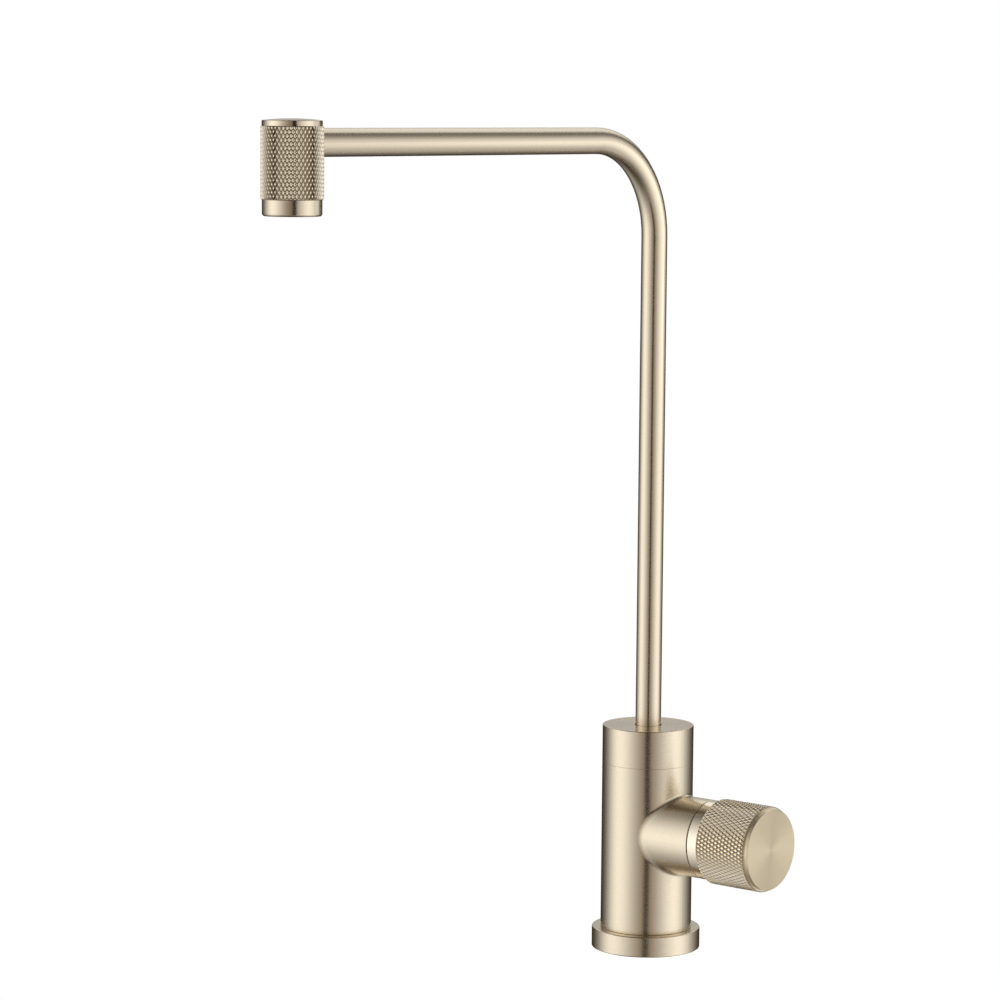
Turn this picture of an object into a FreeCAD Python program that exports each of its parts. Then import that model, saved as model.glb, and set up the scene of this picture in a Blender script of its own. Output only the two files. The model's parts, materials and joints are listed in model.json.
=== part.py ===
import FreeCAD, Part
import math
import os

import Sketcher

# A single sink tap: a round body with a base flange, a quarter-turn valve with a knurled knob on
# its side, and a thin swivelling spout with a knurled outlet head. Origin: the middle of the
# flange's underside, on the deck. +Z is up, the spout points along -Y and the knob along +X.
# Lengths are in millimetres.

os.makedirs("parts", exist_ok=True)
doc = FreeCAD.newDocument("SinkTap")

# Driving sizes

DRIVING_SIZES = {
    "flange_radius": 21.15,
    "flange_height": 8.0,
    "flange_ledge_width": 1.9,
    "flange_ledge_height": 3.0,
    "flange_edge_rounding": 0.4,
    "gasket_inset": 1.55,
    "gasket_width": 3.0,
    "gasket_thickness": 1.5,
    "body_radius": 17.75,
    "body_foot_radius": 14.9,
    "body_edge_rounding": 0.25,
    "seam_edge_rounding": 0.1,
    "seam_drop": 8.6,
    "neck_radius": 14.5,
    "neck_rise": 5.0,
    "collar_lid_thickness": 5.9,
    "collar_hole_clearance": 0.3,
    "collar_seal_drop": 6.0,
    "collar_seal_section": 0.7,
    "inlet_offset": 8.0,
    "inlet_bore_radius": 3.2,
    "inlet_thread_radius": 4.5,
    "inlet_thread_depth": 10.0,
    "stud_offset": 7.5,
    "stud_thread_radius": 3.4,
    "stud_thread_depth": 14.0,
    "outlet_bore_radius": 3.2,
    "outlet_bore_margin": 0.2,
    "socket_radius": 7.0,
    "socket_floor_rise": 15.5,
    "shoulder_recess_radius": 10.6,
    "shoulder_recess_rise": 15.0,
    "shoulder_clearance": 0.4,
    "slide_ring_thickness": 1.2,
    "spigot_foot_gap": 0.6,
    "spigot_seal_section": 0.87,
    "spigot_seal_depth": 3.0,
    "spigot_seal_pitch": 4.2,
    "tube_radius": 5.0,
    "tube_wall": 1.0,
    "tube_foot_drop": 3.0,
    "arm_height": 314.8,
    "reach": 202.6,
    "bend_radius": 36.5,
    "tube_stop": 4.6,
    "valve_height": 46.5,
    "boss_inset": 2.4,
    "boss_reach": 30.75,
    "boss_side_blend": 5.0,
    "boss_top_blend": 1.2,
    "valve_seat": 2.5,
    "valve_port_radius": 3.6,
    "valve_thread_radius": 9.6,
    "valve_cage_step": 0.5,
    "valve_cage_wall": 1.0,
    "valve_chamber_depth": 1.6,
    "valve_chamber_lead": 0.5,
    "valve_chamber_overlap": 0.36,
    "valve_flange_depth": 6.75,
    "valve_flange_thickness": 4.0,
    "valve_hex_step": 2.5,
    "valve_hex_clearance": 0.3,
    "valve_neck_wall": 1.5,
    "valve_neck_length": 6.5,
    "seat_seal_thickness": 1.6,
    "seat_seal_width": 2.8,
    "disc_thickness": 2.4,
    "disc_port_radius": 2.2,
    "disc_port_margin": 1.2,
    "disc_gap": 0.02,
    "driver_length": 3.0,
    "driver_clearance": 0.5,
    "driver_width": 6.0,
    "thrust_washer_thickness": 0.6,
    "stem_radius": 5.0,
    "stem_shoulder_lead": 5.0,
    "spline_step": 1.0,
    "stem_end_gap": 0.3,
    "stem_seal_section": 0.7,
    "stem_seal_lead": 3.36,
    "stem_seal_pitch": 3.5,
    "bonnet_seal_lead": 1.6,
    "circlip_thickness": 0.8,
    "circlip_height": 1.6,
    "circlip_groove_depth": 0.7,
    "circlip_gap_width": 3.0,
    "knob_gap": 0.5,
    "knob_band_length": 4.5,
    "knob_knurl_step": 1.2,
    "knob_knurl_length": 22.35,
    "knob_wall": 2.15,
    "knob_web_depth": 14.75,
    "knob_web_thickness": 8.0,
    "knob_cap_step": 1.0,
    "knob_cap_thickness": 1.75,
    "knob_cap_rounding": 0.4,
    "knob_cap_spigot_step": 3.55,
    "knob_cap_spigot_wall": 2.0,
    "knob_cap_spigot_length": 2.8,
    "hub_radius": 7.0,
    "hub_reach": 8.0,
    "hub_web_lead": 1.3,
    "hub_web_thickness": 2.2,
    "screw_head_radius": 3.5,
    "screw_head_height": 2.8,
    "screw_radius": 1.95,
    "screw_length": 10.5,
    "screw_socket_radius": 1.45,
    "screw_socket_depth": 1.6,
    "knurl_bevel": 0.45,
    "head_radius": 10.95,
    "head_cover": 0.7,
    "head_length": 25.1,
    "lid_step": 0.5,
    "lid_height": 1.9,
    "lid_crown": 0.65,
    "lid_rounding": 0.25,
    "lid_spigot_margin": 0.35,
    "lid_spigot_depth": 1.2,
    "head_bore_step": 0.5,
    "outlet_ring_step": 0.6,
    "outlet_ring_height": 5.6,
    "outlet_ring_rounding": 1.0,
    "outlet_thread_depth": 1.65,
    "outlet_thread_length": 4.6,
    "outlet_ring_wall": 1.1,
    "outlet_lip_width": 0.6,
    "outlet_lip_height": 0.8,
    "aerator_wall": 0.8,
    "aerator_grid_thickness": 1.0,
    "aerator_hole_radius": 0.7,
    "aerator_hole_count": 9,
    "aerator_hole_margin": 2.0,
    "screen_thickness": 0.3,
    "screen_pitch": 0.9,
    "screen_height": 3.4,
    "flow_plate_thickness": 1.6,
    "flow_plate_height": 6.4,
    "aerator_washer_thickness": 1.3,
    "aerator_washer_width": 3.05,
    "fit_clearance": 0.05,
    "slide_clearance": 0.05,
    "loose_clearance": 0.1,
    "seal_clearance": 0.03,
}

sheet = doc.addObject("Spreadsheet::Sheet", "Sizes")
for row, (alias, number) in enumerate(DRIVING_SIZES.items(), start=1):
    sheet.set(f"A{row}", alias)
    sheet.set(f"B{row}", str(number))
    sheet.setAlias(f"B{row}", alias)
doc.recompute()


class Size:
    """A length: its value now, and the formula on the sheet that it follows."""

    def __init__(self, value, formula):
        self.value = value
        self.formula = formula

    def combine(self, other, sign, value):
        return Size(value, f"({self.formula} {sign} {as_size(other).formula})")

    def __add__(self, other):
        return self.combine(other, "+", self.value + as_size(other).value)

    def __sub__(self, other):
        return self.combine(other, "-", self.value - as_size(other).value)

    def __mul__(self, other):
        return self.combine(other, "*", self.value * as_size(other).value)

    def __truediv__(self, other):
        return self.combine(other, "/", self.value / as_size(other).value)

    def __neg__(self):
        return Size(-self.value, f"(0 - {self.formula})")


def as_size(number):
    """A plain number as a size."""
    if isinstance(number, Size):
        return number
    return Size(float(number), str(number))


def size(alias):
    """One driving size by its name on the sheet."""
    return Size(float(sheet.get(alias)), f"Sizes.{alias}")


ZERO = as_size(0)
HORIZONTAL_AXIS_INDEX = -1
VERTICAL_AXIS_INDEX = -2
START_INDEX = 1
END_INDEX = 2
CENTRE_INDEX = 3
FULL_TURN = 360.0
HALF_TURN = 180.0
QUARTER_TURN = 90.0
SAME_PLACE = 1e-4
HEXAGON_FLAT_RATIO = round(math.sqrt(3) / 2, 6)

# Building blocks


def new_piece(label, along_y=ZERO, up_z=ZERO):
    """A piece of the tap, with its place in the tap's frame."""
    body = doc.addObject("PartDesign::Body", label)
    body.Label = label
    body.setExpression("Placement.Base.y", along_y.formula)
    body.setExpression("Placement.Base.z", up_z.formula)
    return body


def on_plane(body, role, name, offset=ZERO, up=ZERO):
    """A sketch on one of the piece's own planes: offset along its normal, and up in the plane."""
    plane = [f for f in body.Origin.OriginFeatures if f.Role == role][0]
    sketch = body.newObject("Sketcher::SketchObject", name)
    sketch.AttachmentSupport = (plane, [""])
    sketch.MapMode = "FlatFace"
    sketch.setExpression("AttachmentOffset.Base.z", offset.formula)
    sketch.setExpression("AttachmentOffset.Base.y", up.formula)
    return sketch


def hold_distance(sketch, kind, axis, geometry, point, distance):
    """Ties one coordinate of a point to its formula."""
    if distance.formula == ZERO.formula:
        sketch.addConstraint(Sketcher.Constraint("PointOnObject", geometry, point, axis))
        return
    number = sketch.addConstraint(
        Sketcher.Constraint(kind, HORIZONTAL_AXIS_INDEX, START_INDEX, geometry, point, distance.value))
    sketch.setExpression(f"Constraints[{number}]", distance.formula)


def hold_point(sketch, geometry, point, x, y):
    """Ties a point to its two formulas."""
    hold_distance(sketch, "DistanceX", VERTICAL_AXIS_INDEX, geometry, point, x)
    hold_distance(sketch, "DistanceY", HORIZONTAL_AXIS_INDEX, geometry, point, y)


def draw_outline(sketch, corners):
    """A closed outline of straight lines through the corners."""
    points = [(as_size(x), as_size(y)) for x, y in corners]
    following = points[1:] + points[:1]
    lines = []
    for (x, y), (next_x, next_y) in zip(points, following):
        start = FreeCAD.Vector(x.value, y.value, 0)
        end = FreeCAD.Vector(next_x.value, next_y.value, 0)
        lines.append(sketch.addGeometry(Part.LineSegment(start, end), False))
    for line, next_line in zip(lines, lines[1:] + lines[:1]):
        sketch.addConstraint(
            Sketcher.Constraint("Coincident", line, END_INDEX, next_line, START_INDEX))
    for line, (x, y) in zip(lines, points):
        hold_point(sketch, line, START_INDEX, x, y)


def draw_circle(sketch, x, y, radius):
    """A circle with its centre and radius tied to their formulas."""
    x, y = as_size(x), as_size(y)
    centre = FreeCAD.Vector(x.value, y.value, 0)
    up = FreeCAD.Vector(0, 0, 1)
    circle = sketch.addGeometry(Part.Circle(centre, up, radius.value), False)
    hold_point(sketch, circle, CENTRE_INDEX, x, y)
    number = sketch.addConstraint(Sketcher.Constraint("Radius", circle, radius.value))
    sketch.setExpression(f"Constraints[{number}]", radius.formula)


def draw_hexagon(sketch, corner):
    """A regular hexagon about the sketch's middle, by the radius of its corners."""
    half_flat = corner * HEXAGON_FLAT_RATIO
    draw_outline(sketch, [
        (corner, 0), (corner / 2, half_flat), (-corner / 2, half_flat), (-corner, 0),
        (-corner / 2, -half_flat), (corner / 2, -half_flat)])


def revolve(body, kind, sketch, name, about):
    """A full turn of a profile, to add or to cut."""
    feature = body.newObject(kind, name)
    feature.Profile = sketch
    feature.ReferenceAxis = (sketch, [about])
    feature.Angle = FULL_TURN


def turn(body, corners, about="V_Axis"):
    """Turns an outline about the vertical axis, or about X with H_Axis."""
    sketch = on_plane(body, "XZ_Plane", "TurningProfile")
    draw_outline(sketch, corners)
    revolve(body, "PartDesign::Revolution", sketch, "Turning", about)


def cut_turned(body, corners, name, about="V_Axis", up=ZERO):
    """Cuts a turned hollow about the vertical axis, or about a line along X at the height up."""
    sketch = on_plane(body, "XZ_Plane", f"{name}Profile", up=up)
    draw_outline(sketch, corners)
    revolve(body, "PartDesign::Groove", sketch, name, about)


def extrude(body, kind, sketch, name, length, reverse=False, both_ways=False):
    """A pad or a pocket with its length tied to a formula."""
    feature = body.newObject(kind, name)
    feature.Profile = sketch
    feature.Length = as_size(length).value
    feature.setExpression("Length", as_size(length).formula)
    feature.Reversed = reverse
    feature.Midplane = both_ways
    return feature


def drill(body, role, name, start, x, y, radius, length, reverse=False):
    """A round hole that starts on a plane parallel to one of the piece's own planes."""
    sketch = on_plane(body, role, f"{name}Circle", offset=start)
    draw_circle(sketch, x, y, radius)
    return extrude(body, "PartDesign::Pocket", sketch, name, length, reverse)


def round_edges(body, name, rounding, is_wanted):
    """Rounds the edges of the piece that is_wanted picks."""
    doc.recompute()
    base = body.Tip
    chosen = [f"Edge{n}" for n, edge in enumerate(base.Shape.Edges, start=1) if is_wanted(edge)]
    feature = body.newObject("PartDesign::Fillet", name)
    feature.Base = (base, chosen)
    feature.Radius = rounding.value
    feature.setExpression("Radius", rounding.formula)
    return feature


def circle_at(radius, centre):
    """Picks the full circles of one radius about one point."""
    def is_wanted(edge):
        if edge.Degenerated or not isinstance(edge.Curve, Part.Circle):
            return False
        if abs(edge.Curve.Radius - radius.value) > SAME_PLACE:
            return False
        return edge.Curve.Center.distanceToPoint(centre) < SAME_PLACE
    return is_wanted


def at_height(height):
    """A point on the piece's upright axis."""
    return FreeCAD.Vector(0, 0, height.value)


def along_x(place):
    """A point on the piece's X axis."""
    return FreeCAD.Vector(place.value, 0, 0)


def ring_seal(label, places, inner_radius, section, about_x, along_y=ZERO, up_z=ZERO):
    """Identical round-section seals, each about the axis at one of the places."""
    rings = []
    for number, place in enumerate(places, start=1):
        ring = doc.addObject("Part::Torus", f"{label}_ring_{number}")
        ring.setExpression("Radius1", (inner_radius + section).formula)
        ring.setExpression("Radius2", section.formula)
        if about_x:
            ring.Placement.Rotation = FreeCAD.Rotation(FreeCAD.Vector(0, 1, 0), QUARTER_TURN)
            ring.setExpression("Placement.Base.x", place.formula)
        else:
            ring.setExpression("Placement.Base.z", place.formula)
        rings.append(ring)
    group = doc.addObject("Part::Compound", label)
    group.Links = rings
    group.Label = label
    group.setExpression("Placement.Base.y", along_y.formula)
    group.setExpression("Placement.Base.z", up_z.formula)
    return group


pieces = []

# Sizes that several pieces share

fit = size("fit_clearance")
slide = size("slide_clearance")
seal_gap = size("seal_clearance")
loose = size("loose_clearance")
tube_radius = size("tube_radius")
tube_bore = tube_radius - size("tube_wall")
flange_height = size("flange_height")
foot_radius = size("body_foot_radius")
gasket_outer = size("flange_radius") - size("gasket_inset")
gasket_inner = gasket_outer - size("gasket_width")
body_radius = size("body_radius")
body_rounding = size("body_edge_rounding")
seam_rounding = size("seam_edge_rounding")
boss_radius = body_radius - size("boss_inset")
boss_end = size("boss_reach")
valve_height = size("valve_height")
socket_radius = size("socket_radius")
socket_floor = valve_height + size("socket_floor_rise")
recess_radius = size("shoulder_recess_radius")
recess_floor = socket_floor + size("shoulder_recess_rise")
tube_foot = recess_floor - size("tube_foot_drop")
neck_top = recess_floor + size("neck_rise")
seam = neck_top - size("seam_drop")
collar_seal_place = neck_top - size("collar_seal_drop")
collar_bore = size("neck_radius") + loose
collar_ceiling = neck_top + loose
collar_top = collar_ceiling + size("collar_lid_thickness")
lower_ring_top = recess_floor + size("slide_ring_thickness")
shoulder_bottom = lower_ring_top + slide
upper_ring_top = collar_ceiling - slide
upper_ring_bottom = upper_ring_top - size("slide_ring_thickness")
shoulder_top = upper_ring_bottom - slide

# Places along the valve's axis, from the body's upright axis outwards

seat = -size("valve_seat")
fixed_disc_start = seat + size("seat_seal_thickness")
fixed_disc_end = fixed_disc_start + size("disc_thickness")
moving_disc_start = fixed_disc_end + size("disc_gap")
moving_disc_end = moving_disc_start + size("disc_thickness")
driver_start = moving_disc_end + size("disc_gap")
driver_end = driver_start + size("driver_length")
cage_ceiling = driver_end + slide + size("thrust_washer_thickness") + slide
chamber_start = fixed_disc_end - size("valve_chamber_lead")
chamber_end = cage_ceiling + size("valve_chamber_overlap")
thread_radius = size("valve_thread_radius")
cage_radius = thread_radius - size("valve_cage_step")
cage_bore = cage_radius - size("valve_cage_wall")
hex_start = boss_end - size("valve_flange_depth")
hex_end = hex_start + size("valve_flange_thickness")
hex_radius = thread_radius + size("valve_hex_step")
bonnet_seal_place = hex_start - size("bonnet_seal_lead")
stem_radius = size("stem_radius")
stem_shoulder = hex_start - size("stem_shoulder_lead")
spline_radius = stem_radius - size("spline_step")
neck_end = hex_end + size("valve_neck_length")
circlip_start = neck_end + slide
circlip_end = circlip_start + size("circlip_thickness")
circlip_groove = spline_radius - size("circlip_groove_depth")
knob_start = boss_end + size("knob_gap")
knurl_start = knob_start + size("knob_band_length")
knurl_end = knurl_start + size("knob_knurl_length")
knurl_radius = boss_radius + size("knob_knurl_step")
cap_spigot_radius = knurl_radius - size("knob_cap_step") - size("knob_cap_spigot_step")
cap_spigot_end = knurl_end - size("knob_cap_spigot_length")
knob_web_start = knob_start + size("knob_web_depth")
knob_web_end = knob_web_start + size("knob_web_thickness")
hub_radius = size("hub_radius")
hub_web_start = knob_web_start + size("hub_web_lead")
hub_web_end = hub_web_start + size("hub_web_thickness")

# Base flange and its gasket


def make_base_flange():
    """The round foot plate, with a ledge for the body and a groove for the gasket."""
    body = new_piece("base_flange")
    radius = size("flange_radius")
    bore = foot_radius - size("flange_ledge_width")
    ledge = size("flange_ledge_height")
    body_seat = foot_radius + loose
    groove_in = gasket_inner - fit
    groove_out = gasket_outer + fit
    groove_top = size("gasket_thickness")
    turn(body, [
        (bore, 0), (groove_in, 0), (groove_in, groove_top), (groove_out, groove_top),
        (groove_out, 0), (radius, 0), (radius, flange_height), (body_seat, flange_height),
        (body_seat, ledge), (bore, ledge)])
    rims = [circle_at(radius, at_height(height)) for height in (ZERO, flange_height)]
    round_edges(body, "RimRounding", size("flange_edge_rounding"),
                lambda edge: any(rim(edge) for rim in rims))
    pieces.append(body)


def make_deck_gasket():
    """The flat rubber ring under the flange, flush with its underside."""
    body = new_piece("deck_gasket")
    top = size("gasket_thickness")
    turn(body, [(gasket_inner, 0), (gasket_outer, 0), (gasket_outer, top), (gasket_inner, top)])
    pieces.append(body)


# Tap body


def make_boss_half(name, side):
    """Half of the boss's cylinder along X: above its middle with side 1, and below with -1."""
    half = doc.addObject("Part::Cylinder", name)
    half.setExpression("Radius", boss_radius.formula)
    half.setExpression("Height", boss_end.formula)
    half.Angle = HALF_TURN
    half.Placement.Rotation = FreeCAD.Rotation(
        FreeCAD.Vector(0, side, 0), FreeCAD.Vector(0, 0, side), FreeCAD.Vector(1, 0, 0))
    half.setExpression("Placement.Base.z", valve_height.formula)
    return half


def is_boss_seam(edge):
    """Picks the curved line where the boss runs into the barrel."""
    return not edge.Degenerated and not isinstance(edge.Curve, (Part.Circle, Part.Line))


def blend_radii(shape):
    """The blend's radius at the last and the first corner of each quarter of the boss's seam."""
    wide = size("boss_side_blend").value
    narrow = size("boss_top_blend").value
    radii = []
    for number, edge in enumerate(shape.Edges, start=1):
        if is_boss_seam(edge):
            heights = [edge.lastVertex(True).Point.z, edge.firstVertex(True).Point.z]
            is_side = [abs(height - valve_height.value) < SAME_PLACE for height in heights]
            radii.append((number, *[wide if side else narrow for side in is_side]))
    return radii


def make_body_blank():
    """Barrel and boss in one, with a blend that is wide at the boss's sides."""
    barrel = doc.addObject("Part::Cylinder", "barrel_blank")
    barrel.setExpression("Radius", body_radius.formula)
    barrel.setExpression("Height", (seam - flange_height).formula)
    barrel.setExpression("Placement.Base.z", flange_height.formula)
    blank = doc.addObject("Part::MultiFuse", "body_blank")
    blank.Shapes = [barrel, make_boss_half("upper_boss_half", 1),
                    make_boss_half("lower_boss_half", -1)]
    blank.Refine = False
    doc.recompute()
    blended = doc.addObject("Part::Fillet", "blended_blank")
    blended.Base = blank
    blended.Edges = blend_radii(blank.Shape)
    return blended


def make_tap_body():
    """The cast body: foot, barrel, threaded neck, side boss, valve bore and waterways."""
    body = new_piece("tap_body")
    body.BaseFeature = make_body_blank()
    foot_bottom = size("flange_ledge_height") + loose
    neck = size("neck_radius")
    groove_floor = neck - size("collar_seal_section") * 2
    groove_low = collar_seal_place - size("collar_seal_section") - fit
    groove_high = collar_seal_place + size("collar_seal_section") + fit
    turn(body, [
        (0, foot_bottom), (foot_radius, foot_bottom), (foot_radius, flange_height),
        (neck, flange_height), (neck, groove_low), (groove_floor, groove_low),
        (groove_floor, groove_high), (neck, groove_high), (neck, neck_top), (0, neck_top)])
    mouth = neck_top + loose
    cut_turned(body, [
        (0, socket_floor), (socket_radius, socket_floor), (socket_radius, recess_floor),
        (recess_radius, recess_floor), (recess_radius, mouth), (0, mouth)], "SpoutSocket")
    cut_valve_bore(body)
    cut_waterways(body)
    boss_rim = circle_at(boss_radius, FreeCAD.Vector(boss_end.value, 0, valve_height.value))
    foot_rim = circle_at(body_radius, at_height(flange_height))
    round_edges(body, "RimRounding", body_rounding,
                lambda edge: boss_rim(edge) or foot_rim(edge))
    round_edges(body, "SeamRounding", seam_rounding, circle_at(body_radius, at_height(seam)))
    pieces.append(body)


def cut_valve_bore(body):
    """The stepped bore along X: seat port, cage bore, water chamber, thread and hexagon recess."""
    port = size("valve_port_radius")
    bore = thread_radius + fit
    chamber = thread_radius + size("valve_chamber_depth")
    recess = hex_radius + size("valve_hex_clearance")
    back = -size("inlet_offset")
    mouth = boss_end + loose
    cut_turned(body, [
        (back, 0), (back, port), (seat, port), (seat, bore), (chamber_start, bore),
        (chamber_start, chamber), (chamber_end, chamber), (chamber_end, bore),
        (hex_start, bore), (hex_start, recess), (mouth, recess), (mouth, 0)],
        "ValveBore", about="H_Axis", up=valve_height)


def cut_waterways(body):
    """The inlet with its hose thread, the hole for the fixing stud, and the way up to the spout."""
    inlet = -size("inlet_offset")
    foot_bottom = size("flange_ledge_height") + loose
    outlet_bore = size("outlet_bore_radius")
    outlet_offset = socket_radius - size("outlet_bore_margin") - outlet_bore
    drill(body, "XY_Plane", "InletBore", ZERO, inlet, 0, size("inlet_bore_radius"),
          valve_height, reverse=True)
    drill(body, "XY_Plane", "InletThread", ZERO, inlet, 0, size("inlet_thread_radius"),
          foot_bottom + size("inlet_thread_depth"), reverse=True)
    drill(body, "XY_Plane", "StudThread", ZERO, size("stud_offset"), 0,
          size("stud_thread_radius"), foot_bottom + size("stud_thread_depth"), reverse=True)
    drill(body, "XY_Plane", "OutletBore", valve_height, outlet_offset, 0, outlet_bore,
          socket_floor - valve_height + loose, reverse=True)


# Collar, slide rings and collar seal


def make_spout_collar():
    """The cap nut on the neck, level with the barrel: it holds the spout down."""
    body = new_piece("spout_collar")
    hole = tube_radius + size("collar_hole_clearance")
    turn(body, [
        (collar_bore, seam), (body_radius, seam), (body_radius, collar_top), (hole, collar_top),
        (hole, collar_ceiling), (collar_bore, collar_ceiling)])
    round_edges(body, "RimRounding", body_rounding, circle_at(body_radius, at_height(collar_top)))
    round_edges(body, "SeamRounding", seam_rounding, circle_at(body_radius, at_height(seam)))
    pieces.append(body)


def make_slide_ring(label, inner, bottom, top):
    """A flat plastic ring that the spout's shoulder slides on."""
    body = new_piece(label)
    outer = recess_radius - fit
    turn(body, [(inner, bottom), (outer, bottom), (outer, top), (inner, top)])
    pieces.append(body)


def make_collar_seal():
    """The ring seal in the neck's groove."""
    section = size("collar_seal_section") - seal_gap
    inner = size("neck_radius") - size("collar_seal_section") * 2 + seal_gap
    pieces.append(ring_seal("collar_seal_ring", [collar_seal_place], inner, section, False))


# Spout


def spigot_seal_places():
    """The heights of the two ring seals on the spigot."""
    first = socket_floor + size("spigot_seal_depth")
    return [first, first + size("spigot_seal_pitch")]


def make_spout_spigot():
    """The turned foot of the spout, with two seal grooves and the shoulder under the collar."""
    body = new_piece("spout_spigot")
    radius = socket_radius - loose
    shoulder = recess_radius - size("shoulder_clearance")
    bottom = socket_floor + size("spigot_foot_gap")
    tube_seat = tube_radius + seal_gap
    section = size("spigot_seal_section")
    groove_floor = socket_radius - seal_gap * 2 - section * 2
    corners = [(tube_bore, bottom), (radius, bottom)]
    for place in spigot_seal_places():
        low = place - section - fit
        high = place + section + fit
        corners += [(radius, low), (groove_floor, low), (groove_floor, high), (radius, high)]
    corners += [
        (radius, shoulder_bottom), (shoulder, shoulder_bottom), (shoulder, shoulder_top),
        (tube_seat, shoulder_top), (tube_seat, tube_foot), (tube_bore, tube_foot)]
    turn(body, corners)
    pieces.append(body)


def make_spigot_seals():
    """Two ring seals between the spigot and its socket."""
    section = size("spigot_seal_section")
    inner = socket_radius - seal_gap - section * 2
    pieces.append(ring_seal("spigot_seal_rings", spigot_seal_places(), inner, section, False))


def make_spout_tube():
    """The bent tube: upright riser, quarter bend and level arm."""
    body = new_piece("spout_tube")
    arm = size("arm_height")
    bend = size("bend_radius")
    arm_end = size("tube_stop") - size("reach")
    route = on_plane(body, "YZ_Plane", "Route")
    corner = arm - bend
    riser_foot = FreeCAD.Vector(0, tube_foot.value, 0)
    riser_top = FreeCAD.Vector(0, corner.value, 0)
    arm_start = FreeCAD.Vector(-bend.value, arm.value, 0)
    arm_tip = FreeCAD.Vector(arm_end.value, arm.value, 0)
    diagonal = math.sqrt(0.5)
    middle = FreeCAD.Vector((diagonal - 1) * bend.value, corner.value + diagonal * bend.value, 0)
    riser = route.addGeometry(Part.LineSegment(riser_foot, riser_top), False)
    curve = route.addGeometry(Part.Arc(riser_top, middle, arm_start), False)
    level = route.addGeometry(Part.LineSegment(arm_start, arm_tip), False)
    route.addConstraint(Sketcher.Constraint("Tangent", riser, END_INDEX, curve, START_INDEX))
    route.addConstraint(Sketcher.Constraint("Tangent", curve, END_INDEX, level, START_INDEX))
    hold_point(route, riser, START_INDEX, ZERO, tube_foot)
    route.addConstraint(Sketcher.Constraint("Vertical", riser))
    route.addConstraint(Sketcher.Constraint("Horizontal", level))
    hold_point(route, level, END_INDEX, arm_end, arm)
    number = route.addConstraint(Sketcher.Constraint("Radius", curve, bend.value))
    route.setExpression(f"Constraints[{number}]", bend.formula)
    section = on_plane(body, "XY_Plane", "Section", offset=tube_foot)
    draw_circle(section, 0, 0, tube_radius)
    draw_circle(section, 0, 0, tube_bore)
    doc.recompute()
    feature = body.newObject("PartDesign::AdditivePipe", "BentTube")
    feature.Profile = section
    feature.Spine = (route, ["Edge1", "Edge2", "Edge3"])
    pieces.append(body)


# Outlet head: places are along its upright axis from the arm's centre line

reach_back = -size("reach")
arm_height = size("arm_height")
head_radius = size("head_radius")
head_top = tube_radius + size("head_cover")
head_bottom = head_top - size("head_length")
ring_bottom = head_bottom - size("outlet_ring_height")
lip_top = ring_bottom + size("outlet_lip_height")
ring_radius = head_radius - size("outlet_ring_step")
ring_thread = ring_radius - size("outlet_thread_depth")
ring_bore = ring_thread - size("outlet_ring_wall")
ring_thread_top = head_bottom + size("outlet_thread_length")
washer_bottom = ring_thread_top + loose
chamber_ceiling = washer_bottom + size("aerator_washer_thickness")
aerator_radius = ring_bore - loose
aerator_bore = aerator_radius - size("aerator_wall")
insert_radius = aerator_bore - loose
lid_spigot = size("tube_stop") - size("lid_spigot_margin")


def head_piece(label):
    """A piece of the outlet head, placed on the end of the arm."""
    return new_piece(label, along_y=reach_back, up_z=arm_height)


def make_outlet_head():
    """The knurled barrel on the arm's end, drawn at the knurl's full diameter."""
    body = head_piece("outlet_head")
    radius = head_radius
    bevel = size("knurl_bevel")
    thread = ring_thread + fit
    bore = tube_bore + size("head_bore_step")
    recess = lid_spigot + fit
    recess_floor_place = head_top - size("lid_spigot_depth")
    turn(body, [
        (0, recess_floor_place), (recess, recess_floor_place), (recess, head_top),
        (radius - bevel, head_top), (radius, head_top - bevel), (radius, head_bottom + bevel),
        (radius - bevel, head_bottom), (thread, head_bottom), (thread, chamber_ceiling),
        (bore, chamber_ceiling), (bore, 0), (0, 0)])
    stop = size("tube_stop")
    drill(body, "XZ_Plane", "TubeSocket", -stop, 0, 0, tube_radius + seal_gap, radius)
    drill(body, "XZ_Plane", "WaterBore", ZERO, 0, 0, tube_bore, stop + loose)
    pieces.append(body)


def make_head_lid():
    """The crowned lid on the head, with a short spigot."""
    body = head_piece("head_lid")
    radius = head_radius - size("lid_step")
    top = head_top + size("lid_height")
    spigot_bottom = head_top - size("lid_spigot_depth") + loose
    turn(body, [
        (0, spigot_bottom), (lid_spigot, spigot_bottom), (lid_spigot, head_top),
        (radius, head_top), (radius, top), (0, top)])
    crown = on_plane(body, "XZ_Plane", "CrownProfile")
    rise = size("lid_crown")
    sphere = radius * radius / (rise * 2) + rise / 2
    draw_crown(crown, radius, top, rise, sphere)
    revolve(body, "PartDesign::Revolution", crown, "Crown", "V_Axis")
    round_edges(body, "RimRounding", size("lid_rounding"), circle_at(radius, at_height(top)))
    pieces.append(body)


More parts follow.
